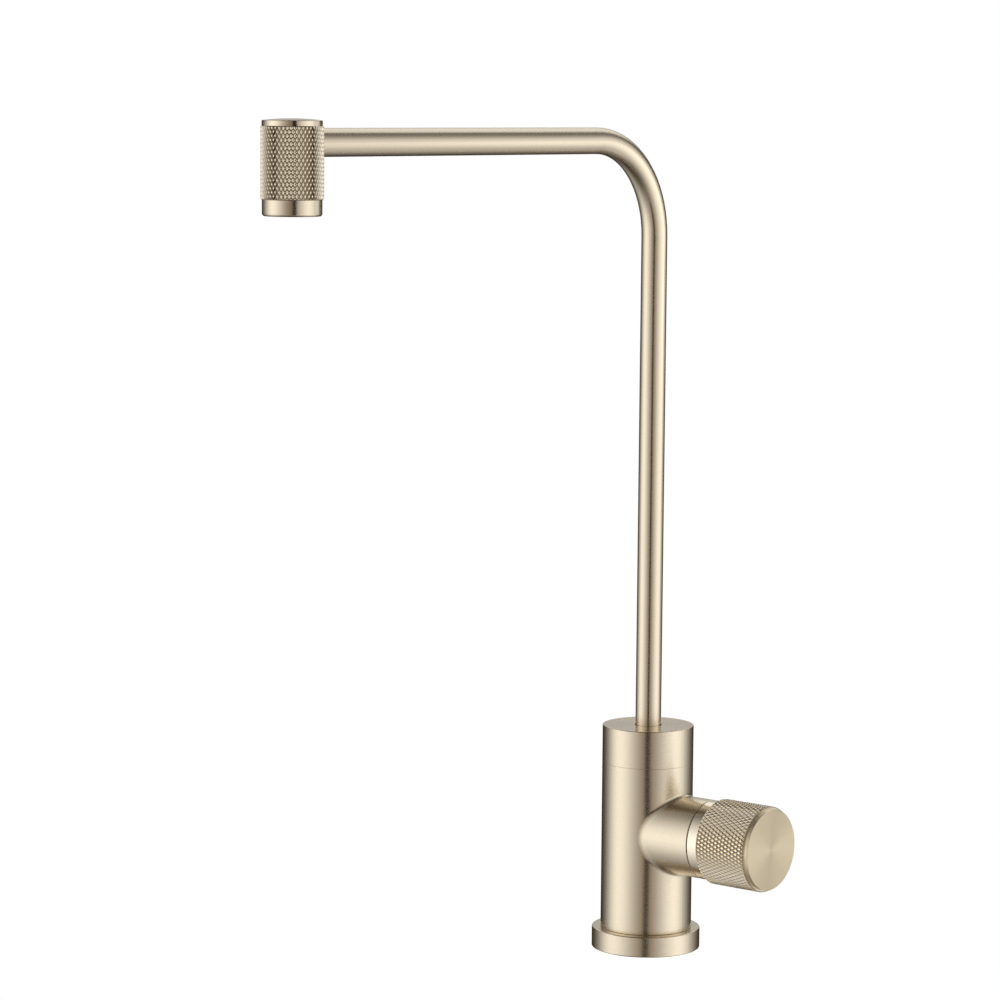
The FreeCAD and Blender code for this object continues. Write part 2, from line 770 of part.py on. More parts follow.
def draw_crown(sketch, radius, top, rise, sphere):
    """Half of a shallow dome: a base line, an upright on the axis and an arc."""
    rim = FreeCAD.Vector(radius.value, top.value, 0)
    foot = FreeCAD.Vector(0, top.value, 0)
    apex = FreeCAD.Vector(0, top.value + rise.value, 0)
    centre_height = top + rise - sphere
    half_angle = math.asin(radius.value / sphere.value) / 2
    middle = FreeCAD.Vector(sphere.value * math.sin(half_angle),
                            centre_height.value + sphere.value * math.cos(half_angle), 0)
    base = sketch.addGeometry(Part.LineSegment(foot, rim), False)
    arc = sketch.addGeometry(Part.Arc(rim, middle, apex), False)
    axis = sketch.addGeometry(Part.LineSegment(apex, foot), False)
    sketch.addConstraint(Sketcher.Constraint("Coincident", base, END_INDEX, arc, START_INDEX))
    sketch.addConstraint(Sketcher.Constraint("Coincident", arc, END_INDEX, axis, START_INDEX))
    sketch.addConstraint(Sketcher.Constraint("Coincident", axis, END_INDEX, base, START_INDEX))
    hold_point(sketch, base, START_INDEX, ZERO, top)
    hold_point(sketch, arc, START_INDEX, radius, top)
    hold_point(sketch, arc, END_INDEX, ZERO, top + rise)
    number = sketch.addConstraint(Sketcher.Constraint("Radius", arc, sphere.value))
    sketch.setExpression(f"Constraints[{number}]", sphere.formula)


def make_outlet_ring():
    """The plain ring below the knurl, screwed into the head: it carries the aerator."""
    body = head_piece("outlet_ring")
    lip = ring_bore - size("outlet_lip_width")
    turn(body, [
        (lip, ring_bottom), (ring_radius, ring_bottom), (ring_radius, head_bottom),
        (ring_thread, head_bottom), (ring_thread, ring_thread_top), (ring_bore, ring_thread_top),
        (ring_bore, lip_top), (lip, lip_top)])
    round_edges(body, "RimRounding", size("outlet_ring_rounding"),
                circle_at(ring_radius, at_height(ring_bottom)))
    pieces.append(body)


def drill_circle_of_holes(body, start, length):
    """A ring of holes and one in the middle, down through a round plate."""
    radius = size("aerator_hole_radius")
    circle = insert_radius - size("aerator_hole_margin")
    drill(body, "XY_Plane", "MiddleHole", start, 0, 0, radius, length)
    hole = drill(body, "XY_Plane", "OuterHole", start, circle, 0, radius, length)
    ring = body.newObject("PartDesign::PolarPattern", "HoleCircle")
    ring.Originals = [hole]
    ring.Axis = (hole.Profile[0], ["N_Axis"])
    ring.Angle = FULL_TURN
    ring.setExpression("Occurrences", size("aerator_hole_count").formula)
    body.Tip = ring


def make_aerator_cage():
    """The plastic cup of the aerator, with a grid of holes in its floor."""
    body = head_piece("aerator_cage")
    grid_top = lip_top + size("aerator_grid_thickness")
    turn(body, [
        (0, lip_top), (aerator_radius, lip_top), (aerator_radius, ring_thread_top),
        (aerator_bore, ring_thread_top), (aerator_bore, grid_top), (0, grid_top)])
    drill_circle_of_holes(body, grid_top, size("aerator_grid_thickness"))
    pieces.append(body)


def make_aerator_screens():
    """Two fine round screens in the aerator."""
    first = lip_top + size("screen_height")
    screens = []
    for number, bottom in enumerate([first, first + size("screen_pitch")], start=1):
        screen = doc.addObject("Part::Cylinder", f"aerator_screen_{number}")
        screen.setExpression("Radius", insert_radius.formula)
        screen.setExpression("Height", size("screen_thickness").formula)
        screen.setExpression("Placement.Base.z", bottom.formula)
        screens.append(screen)
    group = doc.addObject("Part::Compound", "aerator_screens")
    group.Links = screens
    group.Label = "aerator_screens"
    group.setExpression("Placement.Base.y", reach_back.formula)
    group.setExpression("Placement.Base.z", arm_height.formula)
    pieces.append(group)


def make_flow_plate():
    """The drilled plate that breaks the stream up."""
    body = head_piece("aerator_flow_plate")
    bottom = lip_top + size("flow_plate_height")
    top = bottom + size("flow_plate_thickness")
    turn(body, [(0, bottom), (insert_radius, bottom), (insert_radius, top), (0, top)])
    drill_circle_of_holes(body, top, size("flow_plate_thickness"))
    pieces.append(body)


def make_aerator_washer():
    """The flat rubber washer between the aerator and the head."""
    body = head_piece("aerator_washer")
    outer = ring_thread - fit
    inner = outer - size("aerator_washer_width")
    turn(body, [(inner, washer_bottom), (outer, washer_bottom), (outer, chamber_ceiling),
                (inner, chamber_ceiling)])
    pieces.append(body)


# Valve


def valve_piece(label):
    """A piece on the valve's axis."""
    return new_piece(label, up_z=valve_height)


def drill_disc_ports(body, disc_end):
    """Two round ports through a ceramic disc, one each side of its middle."""
    port = size("disc_port_radius")
    offset = cage_bore - loose - size("disc_port_margin") - port
    for name, side in (("FrontPort", offset), ("BackPort", -offset)):
        drill(body, "YZ_Plane", name, disc_end, side, 0, port, size("disc_thickness"))


def make_disc(label, start, end):
    """A lapped ceramic disc of the valve."""
    body = valve_piece(label)
    radius = cage_bore - loose
    turn(body, [(start, 0), (end, 0), (end, radius), (start, radius)], "H_Axis")
    drill_disc_ports(body, end)
    pieces.append(body)


def make_seat_seal():
    """The rubber seat between the body and the fixed disc."""
    body = valve_piece("valve_seat_seal")
    inner = size("valve_port_radius")
    outer = inner + size("seat_seal_width")
    turn(body, [(seat, inner), (fixed_disc_start, inner), (fixed_disc_start, outer),
                (seat, outer)], "H_Axis")
    pieces.append(body)


def make_valve_bonnet():
    """The headwork housing: cage with windows, thread, seal groove, hexagon and neck."""
    body = valve_piece("valve_bonnet")
    thread_start = chamber_end + slide
    stem_bore = stem_radius + slide
    neck_bore = spline_radius + slide
    section = size("stem_seal_section")
    groove_floor = thread_radius - section * 2
    groove_start = bonnet_seal_place - section - fit
    groove_end = bonnet_seal_place + section + fit
    neck = stem_radius + size("valve_neck_wall")
    turn(body, [
        (fixed_disc_start, cage_bore), (fixed_disc_start, cage_radius),
        (thread_start, cage_radius), (thread_start, thread_radius),
        (groove_start, thread_radius), (groove_start, groove_floor),
        (groove_end, groove_floor), (groove_end, thread_radius), (hex_start, thread_radius),
        (hex_end, thread_radius), (hex_end, neck), (neck_end, neck), (neck_end, neck_bore),
        (stem_shoulder + slide, neck_bore), (stem_shoulder + slide, stem_bore),
        (cage_ceiling, stem_bore), (cage_ceiling, cage_bore)], "H_Axis")
    hexagon = on_plane(body, "YZ_Plane", "HexagonOutline", offset=hex_start)
    draw_hexagon(hexagon, hex_radius)
    draw_circle(hexagon, 0, 0, thread_radius - fit)
    extrude(body, "PartDesign::Pad", hexagon, "Hexagon", hex_end - hex_start)
    window = on_plane(body, "XY_Plane", "WindowOutline")
    half_width = size("driver_width") / 2
    draw_outline(window, [
        (driver_start, -half_width), (driver_end, -half_width), (driver_end, half_width),
        (driver_start, half_width)])
    extrude(body, "PartDesign::Pocket", window, "Windows", (thread_radius + loose) * 2,
            both_ways=True)
    pieces.append(body)


def make_bonnet_seal():
    """The ring seal between the headwork and the boss."""
    section = size("stem_seal_section") - seal_gap
    inner = thread_radius - size("stem_seal_section") * 2 + seal_gap
    pieces.append(ring_seal("bonnet_seal_ring", [bonnet_seal_place], inner, section, True,
                            up_z=valve_height))


def stem_seal_places():
    """The places of the two ring seals on the stem."""
    first = cage_ceiling + size("stem_seal_lead")
    return [first, first + size("stem_seal_pitch")]


def make_valve_stem():
    """The turned spindle: driver for the moving disc, seal grooves, shoulder and splined end."""
    body = valve_piece("valve_stem")
    section = size("stem_seal_section")
    groove_floor = stem_radius - section * 2
    driver = cage_bore - size("driver_clearance")
    end = hub_web_start - size("stem_end_gap")
    tapped = size("screw_radius") + fit
    tapped_end = hub_web_end - size("screw_length") - loose
    corners = [(driver_start, 0), (driver_start, driver), (driver_end, driver),
               (driver_end, stem_radius)]
    for place in stem_seal_places():
        low = place - section - fit
        high = place + section + fit
        corners += [(low, stem_radius), (low, groove_floor), (high, groove_floor),
                    (high, stem_radius)]
    corners += [
        (stem_shoulder, stem_radius), (stem_shoulder, spline_radius),
        (circlip_start - slide, spline_radius), (circlip_start - slide, circlip_groove),
        (circlip_end + slide, circlip_groove), (circlip_end + slide, spline_radius),
        (end, spline_radius), (end, tapped), (tapped_end, tapped), (tapped_end, 0)]
    turn(body, corners, "H_Axis")
    for name, side in (("UpperFlat", 1), ("LowerFlat", -1)):
        flat = on_plane(body, "XZ_Plane", f"{name}Outline")
        inner = size("driver_width") / 2 * side
        outer = (driver + loose) * side
        draw_outline(flat, [(driver_start, inner), (driver_end, inner), (driver_end, outer),
                            (driver_start, outer)])
        extrude(body, "PartDesign::Pocket", flat, name, (driver + loose) * 2, both_ways=True)
    pieces.append(body)


def make_stem_seals():
    """Two ring seals on the stem."""
    section = size("stem_seal_section") - seal_gap
    inner = stem_radius - size("stem_seal_section") * 2 + seal_gap
    pieces.append(ring_seal("stem_seal_rings", stem_seal_places(), inner, section, True,
                            up_z=valve_height))


def make_thrust_washer():
    """The plastic washer between the stem's driver and the headwork."""
    body = valve_piece("thrust_washer")
    inner = stem_radius + loose
    outer = cage_bore - loose
    start = driver_end + slide
    end = start + size("thrust_washer_thickness")
    turn(body, [(start, inner), (end, inner), (end, outer), (start, outer)], "H_Axis")
    pieces.append(body)


def make_circlip():
    """The open spring ring that keeps the stem in the headwork."""
    body = valve_piece("stem_circlip")
    inner = circlip_groove + fit
    outer = spline_radius + size("circlip_height")
    turn(body, [(circlip_start, inner), (circlip_end, inner), (circlip_end, outer),
                (circlip_start, outer)], "H_Axis")
    gap = on_plane(body, "YZ_Plane", "GapOutline", offset=circlip_end)
    half = size("circlip_gap_width") / 2
    draw_outline(gap, [(-half, inner / 2), (half, inner / 2), (half, outer + loose),
                       (-half, outer + loose)])
    extrude(body, "PartDesign::Pocket", gap, "Gap", size("circlip_thickness"))
    pieces.append(body)


# Knob


def make_knob_shell():
    """The knurled shell, drawn at the knurl's full diameter, with its plain band and web."""
    body = valve_piece("knob_shell")
    bevel = size("knurl_bevel")
    bore = boss_radius - size("knob_wall")
    hub_seat = hub_radius + fit
    recess = cap_spigot_radius + fit
    turn(body, [
        (knob_start, bore), (knob_start, boss_radius), (knurl_start, boss_radius),
        (knurl_start + bevel, knurl_radius), (knurl_end - bevel, knurl_radius),
        (knurl_end, knurl_radius - bevel), (knurl_end, recess), (knob_web_end, recess),
        (knob_web_end, hub_seat), (knob_web_start, hub_seat), (knob_web_start, bore)], "H_Axis")
    pieces.append(body)


def make_knob_hub():
    """The bush in the knob that takes the stem's splined end and the screw."""
    body = valve_piece("knob_hub")
    start = knob_web_start - size("hub_reach")
    end = knob_web_end
    stem_bore = spline_radius + fit
    screw_bore = size("screw_radius") + loose
    head_bore = size("screw_head_radius") + loose
    turn(body, [
        (start, stem_bore), (start, hub_radius), (end, hub_radius), (end, head_bore),
        (hub_web_end, head_bore), (hub_web_end, screw_bore), (hub_web_start, screw_bore),
        (hub_web_start, stem_bore)], "H_Axis")
    pieces.append(body)


def make_knob_screw():
    """The screw that holds the knob on the stem, under the cap."""
    body = valve_piece("knob_screw")
    shank_end = hub_web_end - size("screw_length")
    top = hub_web_end + size("screw_head_height")
    shank = size("screw_radius")
    head = size("screw_head_radius")
    turn(body, [(shank_end, 0), (shank_end, shank), (hub_web_end, shank), (hub_web_end, head),
                (top, head), (top, 0)], "H_Axis")
    socket = on_plane(body, "YZ_Plane", "SocketOutline", offset=top)
    draw_hexagon(socket, size("screw_socket_radius"))
    extrude(body, "PartDesign::Pocket", socket, "Socket", size("screw_socket_depth"))
    pieces.append(body)


def make_knob_cap():
    """The turned end cap, pressed into the shell by a ring spigot."""
    body = valve_piece("knob_cap")
    radius = knurl_radius - size("knob_cap_step")
    end = knurl_end + size("knob_cap_thickness")
    spigot_bore = cap_spigot_radius - size("knob_cap_spigot_wall")
    turn(body, [
        (knurl_end, 0), (knurl_end, spigot_bore), (cap_spigot_end, spigot_bore),
        (cap_spigot_end, cap_spigot_radius), (knurl_end, cap_spigot_radius),
        (knurl_end, radius), (end, radius), (end, 0)], "H_Axis")
    round_edges(body, "FaceRounding", size("knob_cap_rounding"), circle_at(radius, along_x(end)))
    pieces.append(body)


# Assembly

make_base_flange()
make_deck_gasket()
make_tap_body()
make_spout_collar()
make_slide_ring("lower_slide_ring", socket_radius - loose + slide, recess_floor, lower_ring_top)
make_slide_ring("upper_slide_ring", tube_radius + slide, upper_ring_bottom, upper_ring_top)
make_collar_seal()
make_spout_spigot()
make_spigot_seals()
make_spout_tube()
make_outlet_head()
make_head_lid()
make_outlet_ring()
make_aerator_cage()
make_aerator_screens()
make_flow_plate()
make_aerator_washer()
make_seat_seal()
make_disc("fixed_ceramic_disc", fixed_disc_start, fixed_disc_end)
make_disc("moving_ceramic_disc", moving_disc_start, moving_disc_end)
make_valve_bonnet()
make_bonnet_seal()
make_valve_stem()
make_stem_seals()
make_thrust_washer()
make_circlip()
make_knob_shell()
make_knob_hub()
make_knob_screw()
make_knob_cap()

doc.recompute()

# Checks and files

broken = [thing.Name for thing in doc.Objects
          if "Invalid" in thing.State or "Error" in thing.State]
if broken:
    raise RuntimeError(f"These failed to build: {broken}")
for piece in pieces:
    if piece.Shape.isNull() or not piece.Shape.isValid():
        raise RuntimeError(f"{piece.Label} has no valid shape")
for piece in pieces:
    piece.Shape.exportStep(f"parts/{piece.Label}.step")
    solids = len(piece.Shape.Solids)
    print(f"{piece.Label}: {solids} solid(s), {piece.Shape.Volume / 1000:.3f} cm3")
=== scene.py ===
import json
import math

import bmesh
import bpy
from mathutils import Matrix, Vector


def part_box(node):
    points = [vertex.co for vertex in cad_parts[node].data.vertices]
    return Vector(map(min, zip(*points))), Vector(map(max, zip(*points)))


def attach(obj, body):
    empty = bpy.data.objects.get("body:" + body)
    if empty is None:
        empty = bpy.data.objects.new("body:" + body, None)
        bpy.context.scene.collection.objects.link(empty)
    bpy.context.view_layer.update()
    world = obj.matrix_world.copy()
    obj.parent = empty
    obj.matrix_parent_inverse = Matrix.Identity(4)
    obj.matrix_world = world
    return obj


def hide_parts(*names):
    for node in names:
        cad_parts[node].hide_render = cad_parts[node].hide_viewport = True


# A slim sink tap in brushed champagne-coloured metal, on white.
# Lengths are in metres, and sizes under 10 mm are written in millimetres times MM.

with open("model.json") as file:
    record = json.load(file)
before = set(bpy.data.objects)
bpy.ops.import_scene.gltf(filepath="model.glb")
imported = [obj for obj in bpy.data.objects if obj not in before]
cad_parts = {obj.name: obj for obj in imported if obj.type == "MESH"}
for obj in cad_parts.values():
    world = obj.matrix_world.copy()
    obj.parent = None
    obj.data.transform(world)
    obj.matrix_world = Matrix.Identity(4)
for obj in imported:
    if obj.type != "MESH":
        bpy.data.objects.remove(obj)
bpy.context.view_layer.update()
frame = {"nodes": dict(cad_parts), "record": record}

MM = 0.001
QUARTER_TURN = math.radians(90)
AXIS_X = (1, 0, 0)
AXIS_Z = (0, 0, 1)

# Sizes and places that the CAD pieces give, with each axis as one point on it

cad_pieces = frame["nodes"]
riser_axis = (0, 0, 0)
barrel_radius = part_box("spout_collar")[1].x
tube_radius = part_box("spout_tube")[1].x
arm_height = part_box("spout_tube")[1].z - tube_radius
shell_low, shell_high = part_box("knob_shell")
knob_radius = (shell_high.z - shell_low.z) / 2
valve_axis = (0, 0, (shell_high.z + shell_low.z) / 2)
head_low, head_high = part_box("outlet_head")
head_radius = (head_high.x - head_low.x) / 2
head_axis = (0, (head_high.y + head_low.y) / 2, 0)

# Helpers for modelling

MERGE_DISTANCE = 0.002 * MM
SMOOTH_LIMIT = math.radians(28)


def deselect_all():
    """Nothing stays selected or active."""
    bpy.ops.object.select_all(action="DESELECT")
    bpy.context.view_layer.objects.active = None


def pick(thing):
    """Only this object is selected and active."""
    deselect_all()
    thing.select_set(True)
    bpy.context.view_layer.objects.active = thing


def named(thing, name):
    """Gives the object and its mesh one name."""
    thing.name = name
    thing.data.name = name
    return thing


def place(thing, turn, where):
    """Turns and moves the mesh, and leaves its object at the origin."""
    pick(thing)
    thing.rotation_euler = turn
    thing.location = where
    bpy.ops.object.transform_apply(location=True, rotation=True, scale=True)


def merged_copy(node_name, name):
    """A copy of a CAD node's mesh with its loose triangles joined up."""
    made = bpy.data.objects.new(name, cad_pieces[node_name].data.copy())
    bpy.context.scene.collection.objects.link(made)
    named(made, name)
    pick(made)
    bpy.ops.mesh.customdata_custom_splitnormals_clear()
    bpy.ops.object.mode_set(mode="EDIT")
    bpy.ops.mesh.select_all(action="SELECT")
    bpy.ops.mesh.remove_doubles(threshold=MERGE_DISTANCE)
    bpy.ops.object.mode_set(mode="OBJECT")
    return made


def keep_common(thing, tool):
    """Keeps what two solids have in common, and removes the second."""
    pick(thing)
    common = thing.modifiers.new("common", "BOOLEAN")
    common.operation = "INTERSECT"
    common.solver = "MANIFOLD"
    common.object = tool
    bpy.ops.object.modifier_apply(modifier=common.name)
    bpy.data.objects.remove(tool)


def smooth_by_angle(thing):
    """Smooth walls, with every edge sharper than the limit kept crisp."""
    pick(thing)
    bpy.ops.object.shade_smooth_by_angle(angle=SMOOTH_LIMIT)


# The knurl: crossed V grooves that leave flat-topped diamonds

# A row is one diamond long, and the starts are the diamonds in a ring. The diamonds' flat tops,
# the lands, lie a little lower than the plain rims beside them.
KNOB_ROW = 3.18 * MM
KNOB_STARTS = 66
HEAD_ROW = 2.72 * MM
HEAD_STARTS = 48
KNURL_DEPTH = 0.38 * MM
KNURL_GROOVE_HALF = 0.42 * MM
KNURL_LAND_DROP = 0.03 * MM
OVERRUN_ROWS = 2


def on_grid(vertex, half_row):
    """Whether a vertex belongs to the rod's first grid, and isn't a poked middle."""
    return round(vertex.co.z / half_row) % 2 == 0


def spread_middles(rod, half_row, spread):
    """Moves the poked middles from the flats out to the round."""
    mesh = bmesh.from_edit_mesh(rod.data)
    bpy.ops.mesh.select_all(action="DESELECT")
    for vertex in mesh.verts:
        vertex.select_set(not on_grid(vertex, half_row))
    mesh.select_flush_mode()
    bpy.ops.transform.resize(value=(spread, spread, 1), center_override=(0, 0, 0))


def select_inner_grid(rod, half_row):
    """Selects the first grid's edges, which cut across the diamonds."""
    bpy.ops.mesh.select_all(action="DESELECT")
    bpy.ops.mesh.select_mode(type="EDGE")
    mesh = bmesh.from_edit_mesh(rod.data)
    for edge in mesh.edges:
        is_first = all(on_grid(vertex, half_row) for vertex in edge.verts)
        edge.select_set(is_first and not edge.is_boundary)
    bmesh.update_edit_mesh(rod.data)


def knurled_rod(radius, length, starts, row_length):
    """A closed rod along Z from the origin, covered all over with diamonds."""
    half_row = row_length / 2
    deselect_all()
    bpy.ops.mesh.primitive_circle_add(vertices=starts, fill_type="NOTHING",
                                      radius=radius - KNURL_LAND_DROP - KNURL_DEPTH)
    rod = bpy.context.object
    bpy.ops.object.mode_set(mode="EDIT")
    bpy.ops.mesh.select_all(action="SELECT")
    for _ in range(math.ceil(length / row_length)):
        bpy.ops.mesh.extrude_region_move(TRANSFORM_OT_translate={"value": (0, 0, row_length)})
    bpy.ops.mesh.select_all(action="SELECT")
    bpy.ops.mesh.poke()
    spread_middles(rod, half_row, 1 / math.cos(math.pi / starts))
    select_inner_grid(rod, half_row)
    bpy.ops.mesh.dissolve_edges(use_verts=False)
    bpy.ops.mesh.select_all(action="SELECT")
    bpy.ops.mesh.normals_make_consistent(inside=False)
    bpy.ops.mesh.inset(thickness=KNURL_GROOVE_HALF, depth=KNURL_DEPTH, use_individual=True,
                       use_even_offset=True)
    bpy.ops.mesh.select_all(action="SELECT")
    bpy.ops.mesh.fill_holes(sides=0)
    bpy.ops.mesh.select_all(action="SELECT")
    bpy.ops.mesh.normals_make_consistent(inside=False)
    bpy.ops.mesh.quads_convert_to_tris()
    bpy.ops.object.mode_set(mode="OBJECT")
    return rod


def make_knurled_knob():
    """The knob's shell with its real knurl. Its plain band is thinner than the grooves' bottoms."""
    overrun = OVERRUN_ROWS * KNOB_ROW
    length = shell_high.x - shell_low.x + 2 * overrun
    rod = knurled_rod(knob_radius, length, KNOB_STARTS, KNOB_ROW)
    place(rod, (0, QUARTER_TURN, 0), (shell_low.x - overrun, 0, valve_axis[2]))
    shell = merged_copy("knob_shell", "knurled_knob")
    keep_common(shell, rod)
    smooth_by_angle(shell)
    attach(shell, "knob")
    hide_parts("knob_shell")
    return shell


def make_knurled_head():
    """The outlet head's barrel with its real knurl."""
    overrun = OVERRUN_ROWS * HEAD_ROW
    length = head_high.z - head_low.z + 2 * overrun
    rod = knurled_rod(head_radius, length, HEAD_STARTS, HEAD_ROW)
    place(rod, (0, 0, 0), (0, head_axis[1], head_low.z - overrun))
    barrel = merged_copy("outlet_head", "knurled_head")
    keep_common(barrel, rod)
    smooth_by_angle(barrel)
    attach(barrel, "spout")
    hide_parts("outlet_head")
    return barrel


# Helpers for materials

WHITE = "#FFFFFF"
BLACK = "#000000"
# The mix node's sockets have one name for all kinds, so they go by number.
MIX_FLOATS = (2, 3)
MIX_VECTORS = (4, 5)
MIX_COLOURS = (6, 7)
MIXED_FLOAT = 0
MIXED_VECTOR = 1
MIXED_COLOUR = 2
# Most of a noise pattern's values lie between these two.
NOISE_LOW = 0.3
NOISE_HIGH = 0.7
GRAIN_DETAIL = 2.0


def linear(hex_colour):
    """An sRGB hex colour as linear red, green, blue and full alpha, by the standard's curve."""
    channels = [int(hex_colour[i:i + 2], 16) / 255 for i in (1, 3, 5)]
    curved = [c / 12.92 if c <= 0.04045 else ((c + 0.055) / 1.055) ** 2.4 for c in channels]
    return (*curved, 1.0)


def node(tree, kind, inputs=None, **settings):
    """Adds one node with its settings, and feeds its sockets with values or other nodes."""
    made = tree.nodes.new(kind)
    for name, value in settings.items():
        setattr(made, name, value)
    for socket, value in (inputs or {}).items():
        if isinstance(value, bpy.types.Node):
            value = value.outputs[0]
        if isinstance(value, bpy.types.NodeSocket):
            tree.links.new(value, made.inputs[socket])
        else:
            made.inputs[socket].default_value = value
    return made


def new_material(name):
    """An empty node material."""
    material = bpy.data.materials.new(name)
    material.use_nodes = True
    material.node_tree.nodes.clear()
    return material, material.node_tree


def dress(thing, material):
    """The object wears one material."""
    thing.data.materials.clear()
    thing.data.materials.append(material)
    for face in thing.data.polygons:
        face.material_index = 0


# Brushed champagne brass, the finish of nearly all that shows

# It is brass with a thin pale gold coating laid on in a vacuum, after a pad has brushed the piece
# as it turned. The eye gets a soft satin gloss, long pale lights along the piece that stay crisp
# around it, and a faint grain. Real brush lines are about 0.05 mm apart, and a pixel of the
# render is 0.38 mm, so they are drawn 0.35 mm apart to show at all. A stroke's length is a share
# of the piece's radius.
CHAMPAGNE = "#F3E6CE"
SATIN_ROUGHNESS = 0.26
SATIN_SPREAD = 0.03
SATIN_ANISOTROPY = 0.6
BRUSH_LINE = 0.35 * MM
BRUSH_STROKE = 0.16
BRUSH_RELIEF = 0.0025 * MM
BRUSH_DETAIL = 3.0
BRUSH_UNEVENNESS = 0.6


def turned_direction(tree, centre, axis):
    """For a piece turned about an axis: the way of its brush lines, and where a point lies."""
    spot = node(tree, "ShaderNodeTexCoord").outputs["Object"]
    reach = node(tree, "ShaderNodeVectorMath", {0: spot, 1: centre}, operation="SUBTRACT")
    line = node(tree, "ShaderNodeVectorMath", {0: axis, 1: reach}, operation="CROSS_PRODUCT")
    around = node(tree, "ShaderNodeVectorMath", {0: line}, operation="NORMALIZE")
    radius = node(tree, "ShaderNodeVectorMath", {0: line}, operation="LENGTH").outputs["Value"]
    along = node(tree, "ShaderNodeVectorMath", {0: axis, 1: reach}, operation="DOT_PRODUCT")
    depth = node(tree, "ShaderNodeMath", {0: radius, 1: along.outputs["Value"]}, operation="ADD")
    return around, depth


def brush_pattern(tree, around, depth, axis):
    """Noise drawn out along the brush lines."""
    lines = node(tree, "ShaderNodeMath", {0: depth, 1: BRUSH_LINE}, operation="DIVIDE")
    across = node(tree, "ShaderNodeVectorMath", {0: axis, "Scale": lines}, operation="SCALE")
    stroke = node(tree, "ShaderNodeVectorMath", {0: around, "Scale": 1 / BRUSH_STROKE},
                  operation="SCALE")
    spot = node(tree, "ShaderNodeVectorMath", {0: across, 1: stroke}, operation="ADD")
    return node(tree, "ShaderNodeTexNoise", {
        "Vector": spot, "Scale": 1.0, "Detail": BRUSH_DETAIL, "Roughness": BRUSH_UNEVENNESS})


def brushed_coating(tree, around, brush, roughness=SATIN_ROUGHNESS,
                    anisotropy=SATIN_ANISOTROPY, colour=CHAMPAGNE):
    """The coated metal itself: its colour, its brushed gloss and its fine relief."""
    normal = node(tree, "ShaderNodeNewGeometry").outputs["Normal"]
    line = node(tree, "ShaderNodeVectorTransform", {0: around}, vector_type="VECTOR",
                convert_from="OBJECT", convert_to="WORLD")
    tangent = node(tree, "ShaderNodeVectorMath", {0: normal, 1: line}, operation="CROSS_PRODUCT")
    gloss = node(tree, "ShaderNodeMapRange", {
        "Value": brush, "From Min": NOISE_LOW, "From Max": NOISE_HIGH,
        "To Min": roughness - SATIN_SPREAD, "To Max": roughness + SATIN_SPREAD})
    relief = node(tree, "ShaderNodeBump", {
        "Height": brush, "Strength": 1.0, "Distance": BRUSH_RELIEF})
    metal = node(tree, "ShaderNodeBsdfPrincipled", {
        "Base Color": linear(colour), "Metallic": 1.0, "Roughness": gloss,
        "Anisotropic": anisotropy, "Tangent": tangent, "Normal": relief})
    node(tree, "ShaderNodeOutputMaterial", {"Surface": metal})


def turned_metal(name, centre, axis, **look):
    """Brushed champagne brass on a turned piece: its lines run round the piece's axis."""
    material, tree = new_material(name)
    around, depth = turned_direction(tree, centre, axis)
    brush = brush_pattern(tree, around, depth, axis)
    brushed_coating(tree, around, brush, **look)
    return material


# How far outside the barrel its brush lines give way to the boss's, from and to
BOSS_CHANGE = (0.1 * MM, 0.8 * MM)


def body_metal():
    """Brushed champagne brass on the body: its lines run round the barrel, and on the boss round
    the boss, so the two lights meet in the bend between them."""
    material, tree = new_material("brushed_body_coating")
    barrel_around, barrel_depth = turned_direction(tree, riser_axis, AXIS_Z)
    boss_around, boss_depth = turned_direction(tree, valve_axis, AXIS_X)
    barrel_brush = brush_pattern(tree, barrel_around, barrel_depth, AXIS_Z)
    boss_brush = brush_pattern(tree, boss_around, boss_depth, AXIS_X)
    spot = node(tree, "ShaderNodeTexCoord").outputs["Object"]
    level = node(tree, "ShaderNodeVectorMath", {0: spot, 1: (1, 1, 0)}, operation="MULTIPLY")
    radius = node(tree, "ShaderNodeVectorMath", {0: level}, operation="LENGTH").outputs["Value"]
    on_boss = node(tree, "ShaderNodeMapRange", {
        "Value": radius, "From Min": barrel_radius + BOSS_CHANGE[0],
        "From Max": barrel_radius + BOSS_CHANGE[1]})
    brush = node(tree, "ShaderNodeMix", {
        "Factor": on_boss, MIX_FLOATS[0]: barrel_brush, MIX_FLOATS[1]: boss_brush},
        data_type="FLOAT").outputs[MIXED_FLOAT]
    around = node(tree, "ShaderNodeMix", {
        "Factor": on_boss, MIX_VECTORS[0]: barrel_around, MIX_VECTORS[1]: boss_around},
        data_type="VECTOR").outputs[MIXED_VECTOR]
    brushed_coating(tree, around, brush)
    return material


BEND_RADIUS = 0.0365


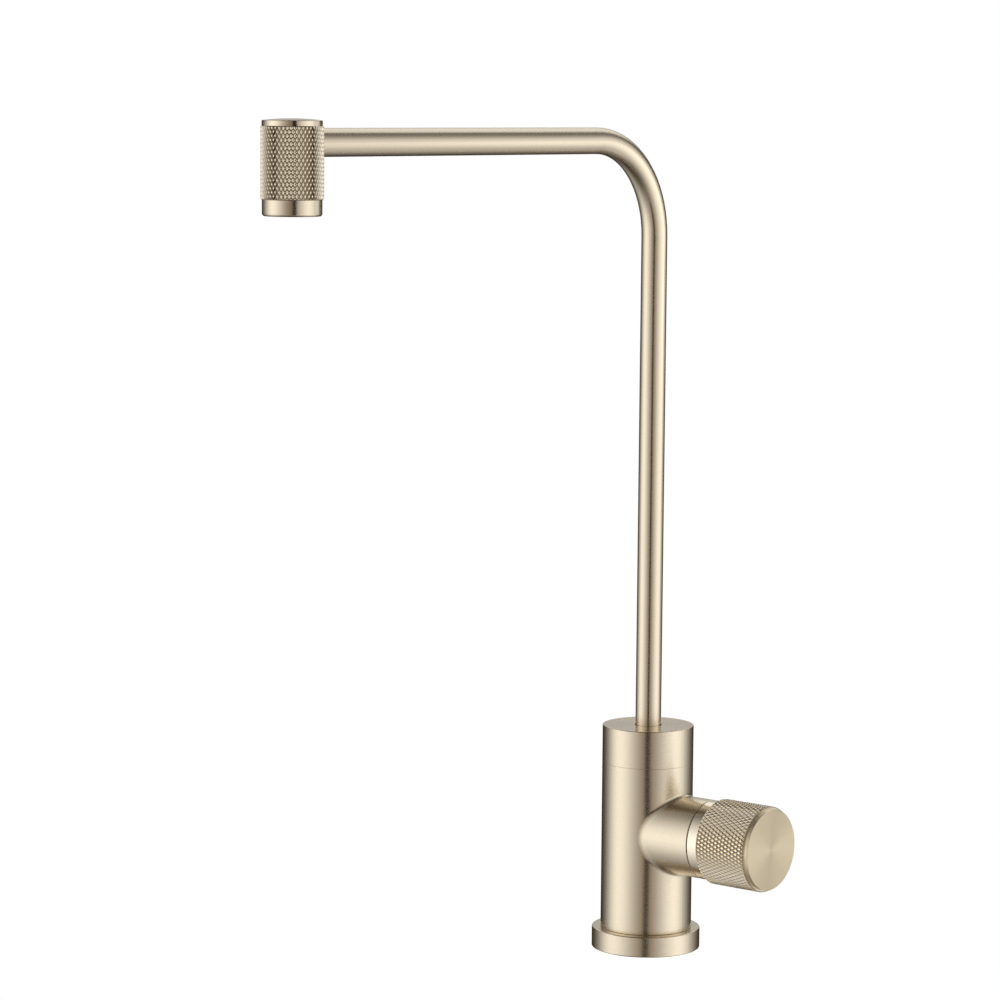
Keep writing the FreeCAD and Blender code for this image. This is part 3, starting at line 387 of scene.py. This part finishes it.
def tube_metal():
    """Brushed champagne brass on the drawn tube: its lines run round it and follow its bend, so
    its lights follow the bend too."""
    material, tree = new_material("brushed_tube_coating")
    bend_start = (0, -BEND_RADIUS, arm_height - BEND_RADIUS)
    spot = node(tree, "ShaderNodeTexCoord").outputs["Object"]
    reach = node(tree, "ShaderNodeVectorMath", {0: spot, 1: bend_start}, operation="SUBTRACT")
    parts = node(tree, "ShaderNodeSeparateXYZ", {0: reach})
    out = node(tree, "ShaderNodeMath", {0: parts.outputs["Y"], 1: 0.0}, operation="MAXIMUM")
    up = node(tree, "ShaderNodeMath", {0: parts.outputs["Z"], 1: 0.0}, operation="MAXIMUM")
    back = node(tree, "ShaderNodeMath", {0: up, 1: -1.0}, operation="MULTIPLY")
    course = node(tree, "ShaderNodeCombineXYZ", {"Y": back, "Z": out})
    way = node(tree, "ShaderNodeVectorMath", {0: course}, operation="NORMALIZE")
    normal = node(tree, "ShaderNodeNewGeometry").outputs["Normal"]
    own_normal = node(tree, "ShaderNodeVectorTransform", {0: normal}, vector_type="NORMAL",
                      convert_from="WORLD", convert_to="OBJECT")
    around = node(tree, "ShaderNodeVectorMath", {0: way, 1: own_normal},
                  operation="CROSS_PRODUCT")
    along = node(tree, "ShaderNodeVectorMath", {0: spot, 1: way}, operation="DOT_PRODUCT")
    brush = brush_pattern(tree, around, along.outputs["Value"], AXIS_X)
    brushed_coating(tree, around, brush)
    return material


# Turned champagne brass, on the lid and the knob's cap

# Both are faced on the lathe and coated as the rest. The lid is polished a little finer, so its
# crown gets a small crisp light. The cap keeps the lathe's rings, so the eye gets two pale fans
# that meet in its middle.
LID_ROUGHNESS = 0.2
CAP_ROUGHNESS = 0.36
CAP_ANISOTROPY = 1.0
# The cap's colour is the coating's champagne made paler, as painted light.
CAP_COLOUR_WITH_PAINTED_LIGHT = "#FFF0D0"

# Knurled champagne brass, on the knob and the outlet head

# Two crossed wheels press the grooves into the turned brass before it is coated. The eye gets
# bright flat diamonds between dark grooves. The grooves' brown is painted shade, and the knurled
# pieces' colour, paler than the rest of the coating, is painted light.
# The lands' own specks are finer than a pixel, so they are drawn as coarse as the brush lines.
KNURL_COLOUR_WITH_PAINTED_LIGHT = "#FFF4DE"
KNURL_GROOVE_PAINTED_SHADE = "#8E7446"
KNURL_ROUGHNESS = 0.175
KNURL_SPREAD = 0.025
KNURL_SPECK = 0.35 * MM
# How far up a groove its painted shade reaches, as a share of the depth
KNURL_GROOVE_SHADE_SHARE = 0.36
# How squarely a face looks along the axis to be a plain shoulder, which gets no painted shade
SHOULDER_FACING = 0.9


def knurled_metal(name, centre, axis, radius):
    """Knurled champagne brass, for a piece with its knurl's radius about an axis."""
    material, tree = new_material(name)
    own = node(tree, "ShaderNodeTexCoord").outputs
    reach = node(tree, "ShaderNodeVectorMath", {0: own["Object"], 1: centre},
                 operation="SUBTRACT")
    line = node(tree, "ShaderNodeVectorMath", {0: axis, 1: reach}, operation="CROSS_PRODUCT")
    distance = node(tree, "ShaderNodeVectorMath", {0: line}, operation="LENGTH").outputs["Value"]
    bottom = radius - KNURL_LAND_DROP - KNURL_DEPTH
    groove_shade_fade = node(tree, "ShaderNodeMapRange", {
        "Value": distance, "From Min": bottom,
        "From Max": bottom + KNURL_GROOVE_SHADE_SHARE * KNURL_DEPTH})
    plain = node(tree, "ShaderNodeMath", {0: distance, 1: bottom - KNURL_LAND_DROP},
                 operation="LESS_THAN")
    facing = node(tree, "ShaderNodeVectorMath", {0: own["Normal"], 1: axis},
                  operation="DOT_PRODUCT").outputs["Value"]
    either_way = node(tree, "ShaderNodeMath", {0: facing}, operation="ABSOLUTE")
    shoulder = node(tree, "ShaderNodeMath", {0: either_way, 1: SHOULDER_FACING},
                    operation="GREATER_THAN")
    shade_free_face = node(tree, "ShaderNodeMath", {0: plain, 1: shoulder}, operation="MAXIMUM")
    bright = node(tree, "ShaderNodeMath", {0: groove_shade_fade, 1: shade_free_face}, operation="MAXIMUM")
    # Painted shade: brown at the grooves' bottoms, fading up their walls. All else gets the paler
    # colour, which is painted light.
    colour = node(tree, "ShaderNodeMix", {
        "Factor": bright, MIX_COLOURS[0]: linear(KNURL_GROOVE_PAINTED_SHADE),
        MIX_COLOURS[1]: linear(KNURL_COLOUR_WITH_PAINTED_LIGHT)}, data_type="RGBA").outputs[MIXED_COLOUR]
    speck = node(tree, "ShaderNodeTexNoise", {
        "Vector": own["Object"], "Scale": 1 / KNURL_SPECK, "Detail": GRAIN_DETAIL})
    gloss = node(tree, "ShaderNodeMapRange", {
        "Value": speck, "From Min": NOISE_LOW, "From Max": NOISE_HIGH,
        "To Min": KNURL_ROUGHNESS - KNURL_SPREAD, "To Max": KNURL_ROUGHNESS + KNURL_SPREAD})
    metal = node(tree, "ShaderNodeBsdfPrincipled", {
        "Base Color": colour, "Metallic": 1.0, "Roughness": gloss})
    node(tree, "ShaderNodeOutputMaterial", {"Surface": metal})
    return material


# The inner pieces' finishes

PLAIN_SPREAD = 0.05


def plain_finish(name, colour, roughness, grain, relief, **sockets):
    """An uncoated finish: one colour with a fine grain in its gloss and its relief."""
    material, tree = new_material(name)
    spot = node(tree, "ShaderNodeTexCoord").outputs["Object"]
    speck = node(tree, "ShaderNodeTexNoise", {
        "Vector": spot, "Scale": 1 / grain, "Detail": GRAIN_DETAIL})
    gloss = node(tree, "ShaderNodeMapRange", {
        "Value": speck, "From Min": NOISE_LOW, "From Max": NOISE_HIGH,
        "To Min": roughness - PLAIN_SPREAD, "To Max": roughness + PLAIN_SPREAD})
    bump = node(tree, "ShaderNodeBump", {"Height": speck, "Strength": 1.0, "Distance": relief})
    surface = node(tree, "ShaderNodeBsdfPrincipled", {
        "Base Color": linear(colour), "Roughness": gloss, "Normal": bump, **sockets})
    node(tree, "ShaderNodeOutputMaterial", {"Surface": surface})
    return material


def inner_finishes():
    """The finishes of the inner pieces, by the record's material slots. Their real grain is finer
    than a pixel, so it is drawn a few tenths of a millimetre coarse."""
    finishes = {}
    # Brass turned from bar and left bare: yellow, with a half gloss from the cut.
    finishes["plain_brass"] = plain_finish(
        "machined_brass", "#D9BE7A", roughness=0.3, grain=0.4 * MM, relief=0.004 * MM,
        Metallic=1.0)
    # Stainless steel, stamped, woven or turned: a neutral grey with a half gloss.
    finishes["plain_steel"] = plain_finish(
        "plain_stainless_steel", "#D5D3CF", roughness=0.3, grain=0.3 * MM, relief=0.003 * MM,
        Metallic=1.0)
    # Nitrile rubber pressed in a mould: nearly black and matt.
    finishes["black_rubber"] = plain_finish(
        "moulded_black_rubber", "#1E1D1C", roughness=0.7, grain=0.5 * MM, relief=0.01 * MM,
        IOR=1.52)
    # Acetal, injection moulded: milky white with a soft sheen.
    finishes["white_plastic"] = plain_finish(
        "moulded_white_acetal", "#E9E7E0", roughness=0.45, grain=0.6 * MM, relief=0.004 * MM,
        IOR=1.48)
    # Alumina ceramic, fired and lapped flat: ivory with a high gloss.
    finishes["white_ceramic"] = plain_finish(
        "lapped_alumina", "#F2EFE6", roughness=0.2, grain=0.3 * MM, relief=0.001 * MM,
        IOR=1.77)
    return finishes


# The camera

VIEW_TURN = math.radians(40.0)
VIEW_PITCH = math.radians(6.39)
VIEW_ROLL = math.radians(0.46)
CAMERA_PLACE = Vector((0.84362, -1.09647, 0.33040))
CAMERA_TURN = math.atan2(CAMERA_PLACE.y, CAMERA_PLACE.x)
CAMERA_REACH = 10.0
FOCAL_PIXELS = 3587.94
PICTURE_PIXELS = 1000
SENSOR_WIDTH = 36.0


def place_camera():
    """The camera that fits the tap's outlines in the photograph."""
    back = Vector((math.sin(VIEW_TURN) * math.cos(VIEW_PITCH),
                   -math.cos(VIEW_TURN) * math.cos(VIEW_PITCH), math.sin(VIEW_PITCH)))
    level = Vector((math.cos(VIEW_TURN), math.sin(VIEW_TURN), 0))
    upright = back.cross(level)
    right = math.cos(VIEW_ROLL) * level + math.sin(VIEW_ROLL) * upright
    up = math.cos(VIEW_ROLL) * upright - math.sin(VIEW_ROLL) * level
    data = bpy.data.cameras.new("camera")
    data.sensor_width = SENSOR_WIDTH
    data.lens = FOCAL_PIXELS / PICTURE_PIXELS * SENSOR_WIDTH
    data.clip_end = CAMERA_REACH
    camera = bpy.data.objects.new("camera", data)
    bpy.context.scene.collection.objects.link(camera)
    turn = Matrix((right, up, back)).transposed().to_4x4()
    camera.matrix_world = Matrix.Translation(CAMERA_PLACE) @ turn
    bpy.context.scene.camera = camera


# The studio's light


def angles(*degrees):
    """Degrees as radians."""
    return [math.radians(angle) for angle in degrees]


# Each soft light has a middle and a reach to either side of it, in degrees: around the tap from
# the camera, with the reach towards the camera first, and upwards, with the reach down first.
# The lean tilts them all to the side.
SIDES_AROUND = angles(76, 50, 38)
SIDES_UPWARD = angles(-7.5, 43, 49)
SIDES_LEVEL = 1.12
SIDES_LEAN = math.radians(3.5)
FRONT_AROUND = angles(0, 45, 45)
FRONT_UPWARD = angles(-44, 19, 19)
FRONT_LEVEL = 0.14
LOW_RIGHT_AROUND = angles(118, 25, 25)
LOW_RIGHT_UPWARD = angles(-40, 25, 25)
LOW_RIGHT_LEVEL = 0.20
BOUNCE_AROUND = angles(132, 36, 36)
BOUNCE_UPWARD = angles(-49, 18, 18)
BOUNCE_LEVEL = 0.28
FILL_AROUND = angles(0, 35, 35)
FILL_LEVEL = 0.10
SHADE_LEVEL = 0.022
SHADE_COLOUR = "#FFCC8C"

# The backdrop's soft edges, from none to full: around for its low and its high part, and upwards
# for its foot, for where it brightens and for its top
BACKDROP_LOW_EDGE = angles(151, 170)
BACKDROP_HIGH_EDGE = angles(133, 143)
BACKDROP_FOOT = angles(-4, 4)
BACKDROP_BRIGHT = angles(17, 27)
BACKDROP_TOP = angles(60, 48)
BACKDROP_LOW_SHARE = 0.42
BACKDROP_HIGH_SHARE = 0.92


def hump(tree, value, middle, near_reach, far_reach):
    """A soft hump, 1 at its middle, with a reach of its own on each side."""
    offset = node(tree, "ShaderNodeMath", {0: value, 1: middle}, operation="SUBTRACT")
    before = node(tree, "ShaderNodeMath", {0: offset, 1: 0.0}, operation="MINIMUM")
    after = node(tree, "ShaderNodeMath", {0: offset, 1: 0.0}, operation="MAXIMUM")
    near = node(tree, "ShaderNodeMath", {0: before, 1: near_reach}, operation="DIVIDE")
    far = node(tree, "ShaderNodeMath", {0: after, 1: far_reach}, operation="DIVIDE")
    share = node(tree, "ShaderNodeMath", {0: near, 1: far}, operation="ADD")
    square = node(tree, "ShaderNodeMath", {0: share, 1: share}, operation="MULTIPLY")
    fall = node(tree, "ShaderNodeMath", {0: square, 1: -1.0}, operation="MULTIPLY")
    return node(tree, "ShaderNodeMath", {0: fall}, operation="EXPONENT")


def soft_light(tree, rest, level, around, upward):
    """One soft light, its level times its two humps, added to the rest of the light."""
    patch = node(tree, "ShaderNodeMath", {0: around, 1: upward}, operation="MULTIPLY")
    return node(tree, "ShaderNodeMath", {0: patch, 1: level, 2: rest}, operation="MULTIPLY_ADD")


def world_angles(tree):
    """Where a direction points: round from the camera to the right, either way, and upwards."""
    way = node(tree, "ShaderNodeTexCoord").outputs["Generated"]
    turned = node(tree, "ShaderNodeVectorRotate", {
        "Vector": way, "Axis": AXIS_Z, "Angle": -CAMERA_TURN}, rotation_type="AXIS_ANGLE")
    leaning = node(tree, "ShaderNodeVectorRotate", {
        "Vector": turned, "Axis": AXIS_X, "Angle": SIDES_LEAN}, rotation_type="AXIS_ANGLE")
    parts = node(tree, "ShaderNodeSeparateXYZ", {0: leaning})
    right = node(tree, "ShaderNodeMath", {0: parts.outputs["Y"], 1: parts.outputs["X"]},
                 operation="ARCTAN2")
    side = node(tree, "ShaderNodeMath", {0: right}, operation="ABSOLUTE")
    rise = node(tree, "ShaderNodeMath", {0: parts.outputs["Z"]}, operation="ARCSINE")
    return right, side, rise


def white_light(tree, right, side, rise):
    """The two big lights beside the tap, and weak ones low in front, low right and low behind."""
    sides = soft_light(tree, 0.0, SIDES_LEVEL, hump(tree, side, *SIDES_AROUND),
                       hump(tree, rise, *SIDES_UPWARD))
    front = soft_light(tree, sides, FRONT_LEVEL, hump(tree, side, *FRONT_AROUND),
                       hump(tree, rise, *FRONT_UPWARD))
    low_right = soft_light(tree, front, LOW_RIGHT_LEVEL, hump(tree, right, *LOW_RIGHT_AROUND),
                           hump(tree, rise, *LOW_RIGHT_UPWARD))
    return soft_light(tree, low_right, BOUNCE_LEVEL, hump(tree, side, *BOUNCE_AROUND),
                      hump(tree, rise, *BOUNCE_UPWARD))


def warm_light(tree, side, rise):
    """The room's dim warm light, with a little more of it from the camera's side."""
    return soft_light(tree, SHADE_LEVEL, FILL_LEVEL, hump(tree, side, *FILL_AROUND),
                      hump(tree, rise, *SIDES_UPWARD))


def backdrop_share(tree, side, rise):
    """How much of the white backdrop the metal mirrors: some at eye level, most higher up."""
    low_edge, high_edge, foot, bright, top = (
        node(tree, "ShaderNodeMapRange", {"Value": angle, "From Min": start, "From Max": end},
             interpolation_type="SMOOTHSTEP")
        for angle, (start, end) in (
            (side, BACKDROP_LOW_EDGE), (side, BACKDROP_HIGH_EDGE), (rise, BACKDROP_FOOT),
            (rise, BACKDROP_BRIGHT), (rise, BACKDROP_TOP)))
    low_part = node(tree, "ShaderNodeMath", {0: low_edge, 1: foot}, operation="MULTIPLY")
    high_part = node(tree, "ShaderNodeMath", {0: high_edge, 1: bright}, operation="MULTIPLY")
    low = node(tree, "ShaderNodeMath", {0: low_part, 1: BACKDROP_LOW_SHARE}, operation="MULTIPLY")
    high = node(tree, "ShaderNodeMath", {0: high_part, 1: BACKDROP_HIGH_SHARE},
                operation="MULTIPLY")
    share = node(tree, "ShaderNodeMath", {0: low, 1: high}, operation="MAXIMUM")
    return node(tree, "ShaderNodeMath", {0: share, 1: top}, operation="MULTIPLY")


def light_studio():
    """White for the camera, a partly white backdrop for the metal, and soft light for the rest."""
    world = bpy.data.worlds.new("soft_studio")
    bpy.context.scene.world = world
    world.use_nodes = True
    tree = world.node_tree
    tree.nodes.clear()
    right, side, rise = world_angles(tree)
    glow = node(tree, "ShaderNodeBackground", {
        "Color": linear(WHITE), "Strength": white_light(tree, right, side, rise)})
    shade = node(tree, "ShaderNodeBackground", {
        "Color": linear(SHADE_COLOUR), "Strength": warm_light(tree, side, rise)})
    studio = node(tree, "ShaderNodeAddShader", {0: glow, 1: shade})
    path = node(tree, "ShaderNodeLightPath")
    seen = node(tree, "ShaderNodeMath", {
        0: path.outputs["Is Glossy Ray"], 1: path.outputs["Is Transmission Ray"]},
        operation="MAXIMUM")
    mirrored = node(tree, "ShaderNodeMath", {0: seen, 1: backdrop_share(tree, side, rise)},
                    operation="MULTIPLY")
    white_share = node(tree, "ShaderNodeMath", {
        0: path.outputs["Is Camera Ray"], 1: mirrored}, operation="MAXIMUM")
    white = node(tree, "ShaderNodeBackground", {"Color": linear(WHITE), "Strength": 1.0})
    mixed = node(tree, "ShaderNodeMixShader", {0: white_share, 1: studio, 2: white})
    node(tree, "ShaderNodeOutputWorld", {"Surface": mixed})


# The studio's panels, which only show in the metal

# The turns are round from the camera, and each size is a width and a height.
FLAG_DISTANCE = 0.6
FLAG_TURN = math.radians(-0.6)
FLAG_SIZE = (0.135, 0.74)
FLAG_MIDDLE = 0.14
BACK_PANEL_DISTANCE = 0.26
BACK_PANEL_TURN = math.radians(102)
BACK_PANEL_SIZE = (0.20, 0.50)
BACK_PANEL_MIDDLE = 0.28
BACK_PANEL_LEVEL = 0.40
PANEL_LOWER_FADE = 0.13
PANEL_UPPER_FADE = 0.12


def stand_panel(name, distance, turn, size, middle, level, see_through):
    """A flat upright panel that faces the tap, brightest at its middle height. A black one hides
    what is behind it, and a white one lets it through."""
    deselect_all()
    bpy.ops.mesh.primitive_plane_add(size=1.0)
    panel = named(bpy.context.object, name)
    bpy.ops.object.mode_set(mode="EDIT")
    bpy.ops.transform.resize(value=(*size, 1.0))
    bpy.ops.object.mode_set(mode="OBJECT")
    direction = CAMERA_TURN + turn
    place(panel, (QUARTER_TURN, 0, direction + QUARTER_TURN),
          (distance * math.cos(direction), distance * math.sin(direction), middle))
    material, tree = new_material(name + "_face")
    spot = node(tree, "ShaderNodeTexCoord").outputs["Object"]
    height = node(tree, "ShaderNodeSeparateXYZ", {0: spot}).outputs["Z"]
    fade = hump(tree, height, middle, PANEL_LOWER_FADE, PANEL_UPPER_FADE)
    strength = node(tree, "ShaderNodeMath", {0: fade, 1: level}, operation="MULTIPLY")
    glow = node(tree, "ShaderNodeEmission", {"Color": linear(WHITE), "Strength": strength})
    clear = node(tree, "ShaderNodeBsdfTransparent", {"Color": linear(see_through)})
    face = node(tree, "ShaderNodeAddShader", {0: glow, 1: clear})
    node(tree, "ShaderNodeOutputMaterial", {"Surface": face})
    dress(panel, material)
    panel.visible_camera = False
    panel.visible_shadow = False
    panel.visible_diffuse = False


def stand_panels():
    """A black flag before the camera, and a weak clear light behind the tap on its right."""
    stand_panel("black_flag", FLAG_DISTANCE, FLAG_TURN, FLAG_SIZE, FLAG_MIDDLE, 0.0, BLACK)
    stand_panel("back_panel", BACK_PANEL_DISTANCE, BACK_PANEL_TURN, BACK_PANEL_SIZE,
                BACK_PANEL_MIDDLE, BACK_PANEL_LEVEL, WHITE)


# The floor

FLOOR_RADIUS = 0.045
FLOOR_CORNERS = 96
FLOOR_DROP = 0.2 * MM
FLOOR_COLOUR = "#F4F4F4"
FLOOR_GLOW = 0.87


def lay_floor():
    """A small round matt white plate under the tap, which keeps its shadow."""
    deselect_all()
    bpy.ops.mesh.primitive_circle_add(vertices=FLOOR_CORNERS, radius=FLOOR_RADIUS,
                                      fill_type="NGON")
    floor = named(bpy.context.object, "floor")
    place(floor, (0, 0, 0), (0, 0, -FLOOR_DROP))
    material, tree = new_material("white_floor")
    path = node(tree, "ShaderNodeLightPath")
    seen = node(tree, "ShaderNodeMath", {
        0: path.outputs["Is Glossy Ray"], 1: path.outputs["Is Transmission Ray"]},
        operation="MAXIMUM")
    shown = node(tree, "ShaderNodeMath", {0: path.outputs["Is Camera Ray"], 1: seen},
                 operation="MAXIMUM")
    strength = node(tree, "ShaderNodeMath", {0: shown, 1: FLOOR_GLOW}, operation="MULTIPLY")
    glow = node(tree, "ShaderNodeEmission", {"Color": linear(WHITE), "Strength": strength})
    paint = node(tree, "ShaderNodeBsdfDiffuse", {"Color": linear(FLOOR_COLOUR)})
    surface = node(tree, "ShaderNodeAddShader", {0: paint, 1: glow})
    node(tree, "ShaderNodeOutputMaterial", {"Surface": surface})
    dress(floor, material)
    floor.visible_glossy = False


# Putting it together

bpy.context.scene.view_settings.view_transform = "Standard"
place_camera()
light_studio()
stand_panels()
lay_floor()

knob = make_knurled_knob()
head = make_knurled_head()

dress(knob, knurled_metal("knurled_knob_coating", valve_axis, AXIS_X, knob_radius))
dress(head, knurled_metal("knurled_head_coating", head_axis, AXIS_Z, head_radius))
dress(cad_pieces["base_flange"], turned_metal("brushed_flange_coating", riser_axis, AXIS_Z))
dress(cad_pieces["tap_body"], body_metal())
dress(cad_pieces["spout_collar"], turned_metal("brushed_collar_coating", riser_axis, AXIS_Z))
dress(cad_pieces["spout_tube"], tube_metal())
dress(cad_pieces["outlet_ring"], turned_metal("brushed_ring_coating", head_axis, AXIS_Z))
dress(cad_pieces["head_lid"], turned_metal("turned_lid_coating", head_axis, AXIS_Z,
                                           roughness=LID_ROUGHNESS))
dress(cad_pieces["knob_cap"], turned_metal("turned_cap_coating", valve_axis, AXIS_X,
                                           roughness=CAP_ROUGHNESS, anisotropy=CAP_ANISOTROPY,
                                           colour=CAP_COLOUR_WITH_PAINTED_LIGHT))
slot_finish = inner_finishes()
for part in frame["record"]["subparts"]:
    if part["material_slot"] in slot_finish:
        dress(cad_pieces[part["node"]], slot_finish[part["material_slot"]])
